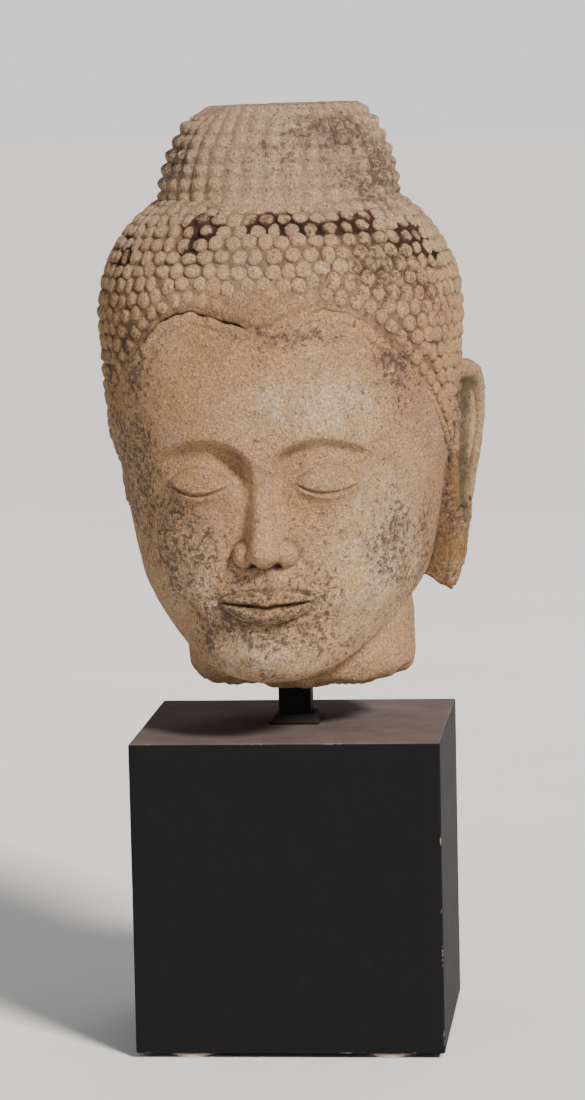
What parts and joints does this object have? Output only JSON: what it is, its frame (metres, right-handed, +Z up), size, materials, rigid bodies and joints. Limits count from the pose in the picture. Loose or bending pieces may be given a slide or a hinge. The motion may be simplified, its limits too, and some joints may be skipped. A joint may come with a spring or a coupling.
{
  "type": "carved stone head of a Buddha on a rod and plinth",
  "caption": "Carved sandstone Buddha head, broken at the neck, held by a square steel rod over a black box plinth on flat round pads.",
  "frame": {"origin": "middle of the plinth's footprint, on the surface that its pads stand on", "axes": "+Z up, -Y is the side that the face looks to, +X is to the right of a viewer who faces it"},
  "size_m": [0.2997, 0.3184, 0.7338],
  "materials": {
    "sandstone": "matte",
    "black_steel": "satin",
    "black_paint": "satin",
    "foot_pad": "matte"
  },
  "bodies": {
    "root": {"stone_head": "sandstone", "mount_rod": "black_steel", "rod_collar": "black_steel", "plinth_block": "black_paint", "foot_pad_front_left": "foot_pad", "foot_pad_front_right": "foot_pad", "foot_pad_back_left": "foot_pad", "foot_pad_back_right": "foot_pad"}
  },
  "joints": []
}
